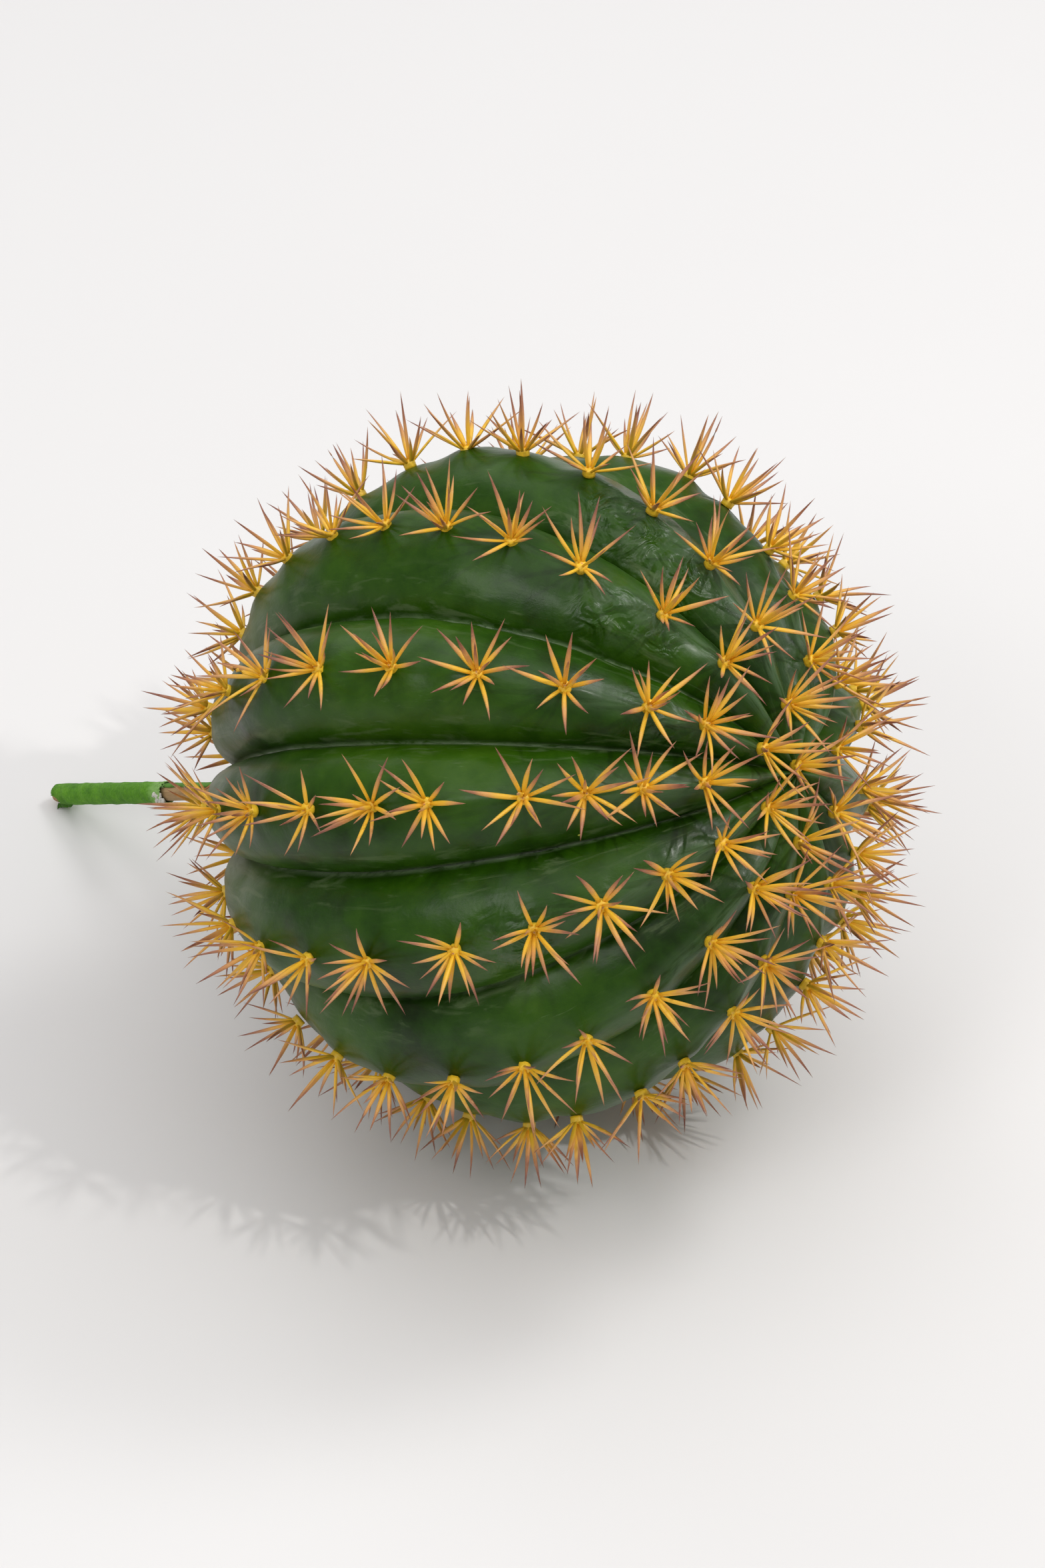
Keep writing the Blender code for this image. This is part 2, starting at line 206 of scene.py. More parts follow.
def add_vectors(piece, name, values):
    """A vector per vertex that the piece's material reads."""
    layer = piece.data.attributes.new(name, "FLOAT_VECTOR", "POINT")
    layer.data.foreach_set("vector", np.asarray(values, dtype=np.float32).ravel())


# ---- material helpers ----

class Graph:
    """A material's node tree, with short calls for the nodes used here."""

    def __init__(self, name):
        self.material = bpy.data.materials.new(name)
        self.material.use_nodes = True
        self.nodes = self.material.node_tree.nodes
        self.links = self.material.node_tree.links
        self.shader = self.nodes["Principled BSDF"]

    def put(self, socket, value):
        if isinstance(value, bpy.types.NodeSocket):
            self.links.new(value, socket)
        else:
            socket.default_value = value

    def add(self, kind, inputs=None):
        """A new node with its inputs set or linked by name."""
        node = self.nodes.new("ShaderNode" + kind)
        for name, value in (inputs or {}).items():
            self.put(node.inputs[name], value)
        return node

    def attribute(self, name, output="Fac"):
        node = self.add("Attribute")
        node.attribute_name = name
        return node.outputs[output]

    def place(self):
        return self.add("TexCoord").outputs["Object"]

    def scaled(self, vector, scale):
        return self.add("Mapping", {"Vector": vector, "Scale": scale}).outputs["Vector"]

    def noise(self, vector, scale, detail=3.0, roughness=0.5, distortion=0.0):
        inputs = {"Vector": vector, "Scale": scale, "Detail": detail, "Roughness": roughness,
                  "Distortion": distortion}
        return self.add("TexNoise", inputs).outputs["Fac"]

    def cells(self, vector, scale):
        node = self.add("TexVoronoi", {"Vector": vector, "Scale": scale})
        return node.outputs["Distance"], node.outputs["Color"]

    def math(self, operation, first, second=0.0, clamp=False):
        node = self.add("Math", {0: first, 1: second})
        node.operation = operation
        node.use_clamp = clamp
        return node.outputs[0]

    def times(self, first, second, clamp=False):
        return self.math("MULTIPLY", first, second, clamp)

    def plus(self, first, second, clamp=False):
        return self.math("ADD", first, second, clamp)

    def minus(self, first, second):
        return self.math("SUBTRACT", first, second)

    def blend(self, first, second, share):
        """The first value's share, and the rest from the second."""
        return self.plus(self.times(first, share), self.times(second, 1 - share))

    def rise(self, value, low, high):
        """0 below low, 1 above high, smooth between."""
        node = self.add("MapRange", {"Value": value, "From Min": low, "From Max": high})
        node.interpolation_type = "SMOOTHSTEP"
        return node.outputs["Result"]

    def mix(self, share, first, second):
        node = self.nodes.new("ShaderNodeMix")
        node.data_type = "RGBA"
        self.put(node.inputs["Factor"], share)
        colours = [socket for socket in node.inputs if socket.type == "RGBA"]
        self.put(colours[0], first)
        self.put(colours[1], second)
        return next(socket for socket in node.outputs if socket.type == "RGBA")

    def tint(self, colour, share, amount, target):
        """The colour, moved toward the target where share is high."""
        return self.mix(self.times(share, amount), colour, target)

    def ramp(self, value, stops):
        node = self.add("ValToRGB", {"Fac": value})
        elements = node.color_ramp.elements
        while len(elements) < len(stops):
            elements.new(0.5)
        for element, (position, colour) in zip(elements, stops):
            element.position = position
            element.color = colour
        return node.outputs["Color"]

    def bump(self, height, distance, strength=1.0, below=None):
        node = self.add("Bump", {"Height": height, "Distance": distance, "Strength": strength})
        if below is not None:
            self.links.new(below, node.inputs["Normal"])
        return node.outputs["Normal"]

    def finish(self, colour, roughness, normal=None):
        """Links the colour, roughness and bump to the shader."""
        self.put(self.shader.inputs["Base Color"], colour)
        self.put(self.shader.inputs["Roughness"], roughness)
        if normal is not None:
            self.links.new(normal, self.shader.inputs["Normal"])
        return self.material


def rgb(red, green, blue):
    return (red, green, blue, 1.0)


# ---- materials ----

SKIN_GREENS = (
    (0.36, rgb(0.0075, 0.027, 0.0003)),
    (0.47, rgb(0.0160, 0.059, 0.0006)),
    (0.57, rgb(0.0280, 0.086, 0.0015)),
    (0.68, rgb(0.0460, 0.115, 0.0050)),
)
# Painted sheen: a pale sage strip along the crests near the crown, standing in for reflected light.
CREST_PAINTED_SHEEN = rgb(0.088, 0.155, 0.070)
GROOVE_HAZE = rgb(0.105, 0.160, 0.062)
GROOVE_LINE = rgb(0.24, 0.33, 0.18)
SCRATCH = rgb(0.15, 0.23, 0.10)
# Painted sheen: pale grey-green patches in the dents, standing in for a reflected soft box.
DENT_PAINTED_SHEEN = rgb(0.105, 0.150, 0.085)
BASE_OLIVE = rgb(0.122, 0.116, 0.048)
BASE_DUST = rgb(0.21, 0.235, 0.150)
PINCH_SHADE = rgb(0.004, 0.016, 0.001)
YELLOW_SPECK = rgb(0.55, 0.62, 0.10)
SPINE_COLOURS = (
    (0.05, rgb(0.92, 0.57, 0.028)),
    (0.38, rgb(0.90, 0.52, 0.045)),
    (0.60, rgb(0.71, 0.36, 0.110)),
    (0.80, rgb(0.42, 0.180, 0.095)),
    (1.0, rgb(0.22, 0.082, 0.058)),
)
# Painted sheen: pale streaks on the spines where the grain noise is high.
SPINE_PAINTED_SHEEN = rgb(0.85, 0.58, 0.30)
WOOD_BROWNS = (
    (0.30, rgb(0.170, 0.095, 0.038)),
    (0.48, rgb(0.360, 0.225, 0.100)),
    (0.70, rgb(0.540, 0.370, 0.190)),
)
# Painted shade: darkens the bare wood just past the tape's inner edge, in the gap under the tape.
WOOD_PAINTED_SHADE = rgb(0.022, 0.030, 0.010)
TAPE_GREENS = (
    (0.32, rgb(0.042, 0.160, 0.003)),
    (0.50, rgb(0.085, 0.265, 0.006)),
    (0.68, rgb(0.145, 0.370, 0.018)),
)
# Painted shade on the tape: at lap edges, at the torn end's open side, and over the flap and strip.
TAPE_SHADE = rgb(0.016, 0.075, 0.004)
TAPE_FRAYED = rgb(0.320, 0.560, 0.170)
CRUMB_DARK = rgb(0.52, 0.50, 0.42)
CRUMB_LIGHT = rgb(0.86, 0.85, 0.80)
FLOOR_DARK = rgb(0.79, 0.780, 0.778)
FLOOR_LIGHT = rgb(0.82, 0.811, 0.808)


def skin_material():
    """Deep green moulded skin: mottled, streaked along the ribs, dusty in the grooves, with painted
    sheen on the crests near the crown and in the dents.
    """
    graph = Graph("green_skin_detail")
    place = graph.place()
    flow = graph.attribute("rib_flow", "Vector")
    across = graph.attribute("across")
    polar = graph.attribute("polar")
    pinch = graph.attribute("pinch")
    knock = graph.attribute("knock")

    broad = graph.noise(place, 22.0, 4.0, 0.55)
    fine = graph.noise(place, 170.0, 5.0, 0.6)
    sheen_spots = graph.noise(place, 210.0, 5.0, 0.65, 0.8)
    streak = graph.noise(graph.scaled(flow, (60.0, 420.0, 1.0)), 1.0, 5.0, 0.62, 0.6)
    wisp = graph.noise(graph.scaled(flow, (110.0, 900.0, 1.0)), 1.0, 6.0, 0.7, 1.5)
    tone = graph.blend(broad, fine, 0.72)

    crest = graph.rise(graph.minus(1.0, across), 0.55, 0.95)
    crown = graph.rise(graph.minus(pi, polar), 1.9, 2.75)
    # Painted sheen along the crests toward the crown.
    crest_sheen = graph.times(graph.times(crest, crown), graph.rise(streak, 0.25, 0.60))
    haze = graph.times(graph.rise(across, 0.35, 1.0), graph.rise(streak, 0.53, 0.68))
    line = graph.times(graph.rise(across, 0.945, 1.0), graph.rise(wisp, 0.34, 0.58))
    scratch = graph.times(graph.rise(wisp, 0.60, 0.72), graph.rise(broad, 0.46, 0.60))
    # Painted sheen in the dents.
    dent_sheen = graph.times(knock, graph.rise(sheen_spots, 0.46, 0.64))
    base = graph.times(graph.rise(polar, 1.85, 2.70), graph.rise(tone, 0.26, 0.58))
    dust = graph.times(graph.rise(polar, 1.80, 2.5), graph.rise(streak, 0.46, 0.70))
    distance, cell = graph.cells(place, 95.0)
    speck = graph.times(graph.math("LESS_THAN", distance, 0.045), graph.rise(cell, 0.905, 0.915))

    colour = graph.ramp(tone, SKIN_GREENS)
    for share, amount, target in (
        (crest_sheen, 0.80, CREST_PAINTED_SHEEN),
        (haze, 0.75, GROOVE_HAZE),
        (line, 0.62, GROOVE_LINE),
        (scratch, 0.30, SCRATCH),
        (dent_sheen, 0.45, DENT_PAINTED_SHEEN),
        (base, 0.72, BASE_OLIVE),
        (dust, 0.62, BASE_DUST),
        (pinch, 0.30, PINCH_SHADE),
        (speck, 0.80, YELLOW_SPECK),
    ):
        colour = graph.tint(colour, share, amount, target)

    rough = graph.plus(graph.times(fine, 0.14), 0.22)
    for share, amount in ((haze, 0.16), (base, 0.22), (broad, 0.10), (knock, -0.12)):
        rough = graph.plus(rough, graph.times(share, amount))
    pores = graph.noise(place, 900.0, 3.0, 0.6)
    normal = graph.bump(graph.blend(pores, wisp, 0.4), 0.12 * MM, 0.55)
    normal = graph.bump(graph.noise(place, 120.0, 4.0, 0.6, 0.4), 0.6 * MM, 0.35, normal)
    crumple = graph.times(graph.noise(place, 150.0, 2.0, 0.5, 1.2), knock)
    normal = graph.bump(crumple, 4.5 * MM, 0.75, normal)
    graph.shader.inputs["Specular IOR Level"].default_value = 0.24
    graph.shader.inputs["Coat Weight"].default_value = 0.05
    graph.shader.inputs["Coat Roughness"].default_value = 0.16
    return graph.finish(colour, rough, normal)


def spine_material():
    """Translucent yellow plastic that goes through orange to a dull pinkish brown at the tips."""
    graph = Graph("spine_plastic_detail")
    place = graph.place()
    reach = graph.attribute("reach")
    tone = graph.attribute("tone")
    grain = graph.noise(place, 500.0, 3.0, 0.6)
    blotch = graph.noise(place, 260.0, 3.0, 0.5)
    spread = graph.plus(reach, graph.times(graph.minus(blotch, 0.5), 0.28))
    spread = graph.plus(spread, graph.times(graph.minus(tone, 0.5), 0.34), clamp=True)
    colour = graph.ramp(spread, SPINE_COLOURS)
    # Painted sheen streaks.
    colour = graph.tint(colour, graph.rise(grain, 0.55, 0.8), 0.25, SPINE_PAINTED_SHEEN)
    graph.shader.inputs["Subsurface Weight"].default_value = 0.12
    graph.shader.inputs["Subsurface Radius"].default_value = (0.0020, 0.0010, 0.0004)
    graph.shader.inputs["Subsurface Scale"].default_value = 1.0
    rough = graph.plus(graph.times(grain, 0.22), 0.30)
    return graph.finish(colour, rough, graph.bump(grain, 0.08 * MM, 0.5))


def wood_material():
    """Peeled bamboo-brown stick: pale khaki with darker grain along it."""
    graph = Graph("bare_wood_detail")
    flow = graph.attribute("grain_flow", "Vector")
    tape_edge_shade = graph.attribute("tape_edge_shade")
    grain = graph.noise(graph.scaled(flow, (1500.0, 1500.0, 70.0)), 1.0, 5.0, 0.65, 0.4)
    broad = graph.noise(graph.scaled(flow, (320.0, 320.0, 40.0)), 1.0, 3.0, 0.5)
    colour = graph.ramp(graph.blend(grain, broad, 0.6), WOOD_BROWNS)
    # Painted shade next to the tape's edge.
    colour = graph.mix(tape_edge_shade, colour, WOOD_PAINTED_SHADE)
    graph.shader.inputs["Specular IOR Level"].default_value = 0.3
    rough = graph.plus(graph.times(grain, 0.25), 0.55)
    return graph.finish(colour, rough, graph.bump(grain, 0.2 * MM, 0.8))


def tape_material():
    """Crepe-paper florist's tape: soft bright green, paler and whitened where it has frayed."""
    graph = Graph("green_tape_detail")
    place = graph.place()
    fray = graph.attribute("reach")
    shade = graph.attribute("tone")
    fuzz = graph.noise(place, 1600.0, 4.0, 0.7)
    blotch = graph.noise(place, 240.0, 4.0, 0.6)
    tone = graph.blend(fuzz, blotch, 0.45)
    colour = graph.ramp(tone, TAPE_GREENS)
    colour = graph.tint(colour, shade, 0.75, TAPE_SHADE)
    pale = graph.times(fray, graph.rise(tone, 0.25, 0.60), clamp=True)
    colour = graph.mix(pale, colour, TAPE_FRAYED)
    graph.shader.inputs["Specular IOR Level"].default_value = 0.2
    graph.shader.inputs["Sheen Weight"].default_value = 0.08
    graph.shader.inputs["Sheen Roughness"].default_value = 0.6
    return graph.finish(colour, 0.92, graph.bump(fuzz, 0.35 * MM, 0.9))


def crumb_material():
    graph = Graph("green_tape_crumbs")
    grit = graph.noise(graph.place(), 1800.0, 3.0, 0.6)
    colour = graph.mix(grit, CRUMB_DARK, CRUMB_LIGHT)
    return graph.finish(colour, 0.9, graph.bump(grit, 0.2 * MM, 0.8))


def floor_material():
    graph = Graph("pale_floor")
    mottle = graph.noise(graph.place(), 3.0, 4.0, 0.5)
    graph.shader.inputs["Specular IOR Level"].default_value = 0.2
    return graph.finish(graph.mix(mottle, FLOOR_DARK, FLOOR_LIGHT), 0.75)


# ---- skin ----

# Depths of the fine relief.
CREST_SAG = 0.9 * MM
PINCH_FOLD = 0.55 * MM
PINCH_HOLLOW = 0.30 * MM
PINCH_REACH = 14.4 * MM
PINCH_SEED = 41
DEEP_PINCHES_END = radians(58)
# Unevenness of the whole skin and of its grooves: height, wavelength and seed.
BROAD_WAVES = (0.45 * MM, 34 * MM, 2)
SHORT_WAVES = (0.13 * MM, 11 * MM, 3)
GROOVE_WAVES = (0.16 * MM, 4.5 * MM, 4)
DENT_SEED = 23
DENTS = (
    # rib whose flank it is on, side toward the next rib (1) or the last (-1), degrees from the
    # crown, place across the flank, reach, depth and number of small pits
    (1, 1, 41.0, 0.50, 9.0 * MM, 1.15 * MM, 10),
    (1, 1, 50.0, 0.44, 10.0 * MM, 1.35 * MM, 18),
    (1, 1, 58.0, 0.32, 7.0 * MM, 0.80 * MM, 6),
    (2, 1, 47.0, 0.42, 7.0 * MM, 0.80 * MM, 4),
    (2, 1, 37.0, 0.25, 6.0 * MM, 0.80 * MM, 4),
    (3, 1, 33.0, 0.30, 6.0 * MM, 0.70 * MM, 4),
    (5, 1, 62.0, 0.30, 9.0 * MM, 0.60 * MM, 3),
    (9, 1, 60.0, 0.45, 9.0 * MM, 0.90 * MM, 7),
    (11, -1, 75.0, 0.50, 8.0 * MM, 0.80 * MM, 6),
)


def rib_drop(across, polar):
    """Drop from crest to groove, 0 to 1: a soft ridge near the crown, a round roll lower down."""
    across = np.clip(np.abs(across), 0, 1)
    roll = 1 - (1 - across ** 2) ** 0.55
    ridge = across ** 1.1
    share = 0.46 / (1 + np.exp((polar - 1.20) * 5)) + 0.06
    return roll * (1 - share) + ridge * share


def skin_radius(polar, across):
    depth = GROOVE_DEPTH * np.sin(polar) ** GROOVE_FADE
    return crest_radius(polar) * (1 - depth * rib_drop(across, polar))


def skin_columns():
    """Azimuth, rib, signed place across it (-1 to 1) for every column, closest in the grooves."""
    azimuths, ribs, places = [], [], []
    for rib in range(RIB_COUNT):
        centre = rib_angle(rib)
        before = centre - rib_angle(rib - 1)
        after = rib_angle(rib + 1) - centre
        for column in range(SKIN_COLUMNS):
            share = -1 + 2 * column / SKIN_COLUMNS
            place = share + 0.13 * sin(pi * share)
            azimuths.append(centre + place * (after if place > 0 else before) / 2)
            ribs.append(rib)
            places.append(place)
    return np.array(azimuths), np.array(ribs), np.array(places)


def crest_sag(polar, ribs, places):
    """Crests hang a little between one boss and the next."""
    sag = np.zeros(polar.shape)
    for rib in range(RIB_COUNT):
        marks = np.array(cluster_angles(rib))
        own = ribs == rib
        angle = polar[:, own]
        step = np.interp(angle, marks, np.arange(len(marks)), left=0, right=len(marks) - 1)
        sag[:, own] = np.sin(pi * step) ** 2 * np.exp(-(places[:, own] / 0.40) ** 2)
    return -CREST_SAG * sag


def pinches(points):
    """Creases that run out from under each boss, and how deep in one each point lies."""
    relief = np.zeros(points.shape[:-1])
    shade = np.zeros(points.shape[:-1])
    draw = random.Random(PINCH_SEED)
    for rib in range(RIB_COUNT):
        for angle in cluster_angles(rib):
            folds = draw.randint(5, 8)
            phase = draw.uniform(0, 2 * pi)
            strength = draw.uniform(0.5, 1.0) * (1.25 if angle < DEEP_PINCHES_END else 0.40)
            centre = on_body(angle, rib_angle(rib), crest_radius(angle))
            offset = points - centre
            distance = np.linalg.norm(offset, axis=-1)
            near = distance < PINCH_REACH
            here = offset[near]
            along = on_body(angle - 0.01, rib_angle(rib), crest_radius(angle)) - centre
            along /= np.linalg.norm(along)
            aside = np.array([-sin(rib_angle(rib)), cos(rib_angle(rib)), 0.0])
            turn = np.arctan2(here @ aside, here @ along)
            reach = distance[near]
            fold = (0.5 + 0.5 * np.cos(folds * turn + phase + 0.25 * reach / MM)) ** 7
            grow = np.exp(-((reach - 4.2 * MM) / (2.8 * MM)) ** 2)
            hollow = np.exp(-(reach / (3.4 * MM)) ** 2)
            relief[near] -= strength * (PINCH_FOLD * fold * grow + PINCH_HOLLOW * hollow)
            shade[near] = np.maximum(shade[near], strength * np.maximum(fold * grow, 0.75 * hollow))
    return relief, np.clip(shade, 0, 1)


def level_with(vector, centre):
    """The vector's part along the skin at a point."""
    out = centre / np.linalg.norm(centre)
    return vector - out * (vector @ out)


def dents(points):
    """Broad knocks in the flanks, each crumpled by a few small long pits."""
    relief = np.zeros(points.shape[:-1])
    knock = np.zeros(points.shape[:-1])
    draw = np.random.default_rng(DENT_SEED)
    for rib, side, angle, across, reach, depth, pits in DENTS:
        step = (rib_angle(rib + side) - rib_angle(rib)) / 2
        centre = on_body(radians(angle), rib_angle(rib) + step * across,
                         skin_radius(radians(angle), across))
        offset = points - centre
        near = np.exp(-(offset ** 2).sum(-1) / reach ** 2)
        relief -= 0.5 * depth * near
        knock = np.maximum(knock, near)
        for _ in range(pits):
            spot = offset - level_with(draw.normal(size=3), centre) * reach * 0.55
            long_way = level_with(draw.normal(size=3), centre)
            long_way /= np.linalg.norm(long_way)
            size = draw.uniform(1.2, 2.4) * MM
            along = spot @ long_way
            away = (spot ** 2).sum(-1) - along ** 2 * 0.75
            relief -= depth * draw.uniform(-0.6, 1.1) * np.exp(-away / size ** 2)
    return relief, knock


def skin_grid():
    """Skin points on a ring by column grid, with what the material reads at each."""
    azimuth, ribs, places = skin_columns()
    polar = (pi * (np.arange(SKIN_RINGS) + 1) / (SKIN_RINGS + 1))[:, None] + 0 * azimuth[None, :]
    azimuth = azimuth[None, :] + 0 * polar
    places = places[None, :] + 0 * polar
    across = np.abs(places)
    radius = skin_radius(polar, places)
    points = on_body(polar, azimuth, radius)
    slope = np.sin(polar) ** 0.5
    relief = crest_sag(polar, ribs, places)
    relief += waves(points, *BROAD_WAVES) * slope * (1 - 0.5 * across)
    relief += waves(points, *SHORT_WAVES) * slope
    creased = np.clip((across - 0.55) / 0.45, 0, 1) ** 2
    relief += waves(points * (1, 1, 0.8), *GROOVE_WAVES) * creased * slope
    pinch_relief, pinch = pinches(points)
    dent_relief, knock = dents(points)
    relief += pinch_relief + dent_relief
    relief *= np.clip(np.sin(polar) * 6, 0, 1)
    points = on_body(polar, azimuth, radius + relief)
    flow = np.stack([polar * BODY_RADIUS, azimuth * BODY_RADIUS * 0.75, 0 * polar], axis=-1)
    return points, {"across": across, "polar": polar, "pinch": pinch, "knock": knock}, flow


def build_skin(material):
    points, values, flow = skin_grid()
    rings, columns = points.shape[:2]
    ends = np.array([on_body(0.0, 0.0, crest_radius(0.0)), on_body(pi, 0.0, crest_radius(pi))])
    vertices = to_world(np.concatenate([points.reshape(-1, 3), ends]))
    crown_point = rings * columns
    base_point = crown_point + 1
    faces = [(a, d, c, b) for a, b, c, d in tube_quads(rings, columns)]
    last = (rings - 1) * columns
    for column in range(columns):
        beside = (column + 1) % columns
        faces.append((crown_point, column, beside))
        faces.append((base_point, last + beside, last + column))
    piece = new_piece("cactus_skin", vertices, faces, material)
    for name, grid in values.items():
        tail = (0.0, 0.0) if name != "polar" else (0.0, pi)
        add_values(piece, name, np.concatenate([grid.ravel(), tail]))
    add_vectors(piece, "rib_flow", np.concatenate([flow.reshape(-1, 3), np.zeros((2, 3))]))
    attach(piece, "root")
    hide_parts("cactus_body")


# ---- spine clusters ----

SPINE_SEED = 7
SPINE_SIDES = 6
SPINE_RINGS = 8
SPINE_LENGTH = 16.0 * MM
SPINE_WIDTH = 0.62 * MM
SPINE_THICKNESS = 0.42 * MM
SPINE_CLEARANCE = 0.45 * MM
FLOOR_REST = 0.45 * MM
# The inner and outer spines of a cluster: fewest and most, spread in turn, least and most lean in
# degrees, distance of the root from the boss's middle, and least and most share of the length.
INNER_SPINES = (3, 5, 0.0, 0.30, 8, 36, 0.50, 0.80, 1.14)
OUTER_SPINES = (8, 10, 0.5, 0.38, 40, 69, 1.15, 0.60, 1.10)
# The boss, in millimetres: radius and height from the skin up.
BOSS_SIDES = 14
BOSS_PROFILE = (
    (1.60, -0.6),
    (1.58, 0.1),
    (1.62, 0.6),
    (1.66, 1.0),
    (1.45, 1.4),
    (1.0, 1.65),
    (0.5, 1.8),
)
BOSS_TIP = 1.85 * MM


class Builder:
    """Gathers the vertices, faces and material values of one piece."""

    def __init__(self):
        self.vertices = []
        self.faces = []
        self.reach = []
        self.tone = []

    def ring_surface(self, rings, reach, tone, tip=None):
        """Joins rings of points into a closed tube, with an end point or a flat end."""
        first = len(self.vertices)
        sides = len(rings[0])
        for ring, share in zip(rings, reach):
            self.vertices += ring
            self.reach += [share] * sides
            self.tone += [tone] * sides
        self.faces += tube_quads(len(rings), sides, first)
        last = first + (len(rings) - 1) * sides
        if tip is not None:
            self.vertices.append(tip)
            self.reach.append(1.0)
            self.tone.append(tone)
            peak = len(self.vertices) - 1
            for side in range(sides):
                self.faces.append((last + side, last + (side + 1) % sides, peak))
        else:
            self.faces.append(tuple(last + side for side in range(sides)))
        self.faces.append(tuple(first + side for side in reversed(range(sides))))

    def piece(self, name, material):
        made = new_piece(name, self.vertices, self.faces, material)
        add_values(made, "reach", self.reach)
        add_values(made, "tone", self.tone)
        return made


def cluster_frame(polar, azimuth):
    """Frame of a boss in world space: +Z leaves the skin and +X runs along the rib to the crown."""
    step = 0.01
    here = Vector(on_body(polar, azimuth, crest_radius(polar)))
    before = Vector(on_body(polar - step, azimuth, crest_radius(polar - step)))
    after = Vector(on_body(polar + step, azimuth, crest_radius(polar + step)))
    along = (before - after).normalized()
    aside = Vector((-sin(azimuth), cos(azimuth), 0))
    outward = along.cross(aside)
    if outward.dot(here) < 0:
        outward = -outward
        aside = -aside
    rotation = Matrix((along, aside, outward)).transposed().to_4x4()
    return PLACEMENT @ Matrix.Translation(here) @ rotation


def rib_place(azimuth):
    """Signed place across the nearest rib, -1 to 1."""
    for rib in range(RIB_COUNT):
        start = rib_angle(rib)
        step = (azimuth - start) % (2 * pi)
        width = rib_angle(rib + 1) - start
        if step < width:
            share = 2 * step / width
            return share if share < 1 else share - 2
    return 0.0


def kept_clear(point, clearance):
    """The point, moved out of the skin and up off the floor if it lies in either."""
    local = FROM_WORLD @ point
    length = local.length
    polar = acos(max(-1.0, min(1.0, local.z / length)))
    azimuth = np.arctan2(local.y, local.x)
    limit = float(skin_radius(np.float64(polar), np.float64(rib_place(azimuth)))) + clearance
    if length < limit:
        point = PLACEMENT @ (local * (limit / length))
    if point.z < FLOOR_REST:
        point = Vector((point.x, point.y, FLOOR_REST))
    return point


def spine_path(frame, root, lean, turn, length, bend, sway):
    """Points along one spine, which bends as it goes out and lies down where it meets the floor."""
    rotation = frame.to_3x3()
    point = frame @ root
    path = [point]
    step = length / SPINE_RINGS
    for place in range(1, SPINE_RINGS + 1):
        share = place / SPINE_RINGS
        tilt = lean + bend * share
        swing = turn + sway * share
        heading = rotation @ around(sin(tilt), swing, cos(tilt))
        following = point + heading * step
        if following.z < FLOOR_REST:
            flat = Vector((heading.x, heading.y, 0))
            if flat.length < 0.2:
                flat = Vector((cos(turn * 3), sin(turn * 3), 0))
            drop = max(-1.0, min(0.0, (FLOOR_REST - point.z) / step))
            following = point + flat.normalized() * step * (1 - drop * drop) ** 0.5
            following.z = point.z + drop * step
        point = kept_clear(following, SPINE_CLEARANCE)
        path.append(point)
    return path


def spine_thickness(share):
    """Half width along a spine: full a third of the way out, then a long taper to the tip."""
    swell = 0.72 + 0.28 * sin(pi * min(1.0, share / 0.8))
    return swell * (1 - share ** 3.0) ** 0.8


def add_spine(builder, path, outward, size, tone):
    rings, reach = [], []
    count = len(path) - 1
    for place in range(count):
        share = place / count
        heading = (path[min(place + 1, count)] - path[max(place - 1, 0)]).normalized()
        wide = heading.cross(outward)
        wide = wide.normalized() if wide.length > 0.05 else heading.orthogonal().normalized()
        deep = wide.cross(heading).normalized()
        half = spine_thickness(share) * size
        ring = []
        for side in range(SPINE_SIDES):
            turn = 2 * pi * side / SPINE_SIDES
            sideways = wide * (cos(turn) * SPINE_WIDTH * half)
            ring.append(tuple(path[place] + (sideways + deep * (sin(turn) * SPINE_THICKNESS * half))))
        rings.append(ring)
        reach.append(0.12 + 0.88 * share)
    builder.ring_surface(rings, reach, tone, tip=tuple(path[-1]))


def add_boss(builder, frame, draw):
    """The low plug that a cluster's spines grow from."""
    uneven = [draw.uniform(0.9, 1.1) for _ in range(BOSS_SIDES)]
    rings = []
    for radius, height in BOSS_PROFILE:
        ring = []
        for side in range(BOSS_SIDES):
            turn = 2 * pi * side / BOSS_SIDES
            out = radius * MM * uneven[side]
            ring.append(tuple(frame @ around(out, turn, height * MM)))
        rings.append(ring)
    tip = tuple(frame @ Vector((0, 0, BOSS_TIP)))
    builder.ring_surface(rings, [0.0] * len(rings), 0.35, tip=tip)


def add_cluster(builder, frame, draw):
    add_boss(builder, frame, draw)
    outward = (frame.to_3x3() @ Vector((0, 0, 1))).normalized()
    counts = [draw.randint(fewest, most) for fewest, most, *_ in (INNER_SPINES, OUTER_SPINES)]
    start = draw.uniform(0, 2 * pi)
    spines = []
    for count, kind in zip(counts, (INNER_SPINES, OUTER_SPINES)):
        _, _, offset, spread, least_lean, most_lean, out, shortest, longest = kind
        for place in range(count):
            turn = start + 2 * pi * (place + offset + draw.uniform(-spread, spread)) / count
            lean = radians(draw.uniform(least_lean, most_lean))
            spines.append((lean, turn, out, draw.uniform(shortest, longest)))
    for lean, turn, out, share in spines:
        root = around(out * MM, turn, (1.55 - 0.55 * out) * MM)
        bend = radians(draw.uniform(-15, 12))
        sway = radians(draw.uniform(-16, 16))
        path = spine_path(frame, root, lean, turn, SPINE_LENGTH * share, bend, sway)
        add_spine(builder, path, outward, draw.uniform(0.86, 1.14), draw.random())


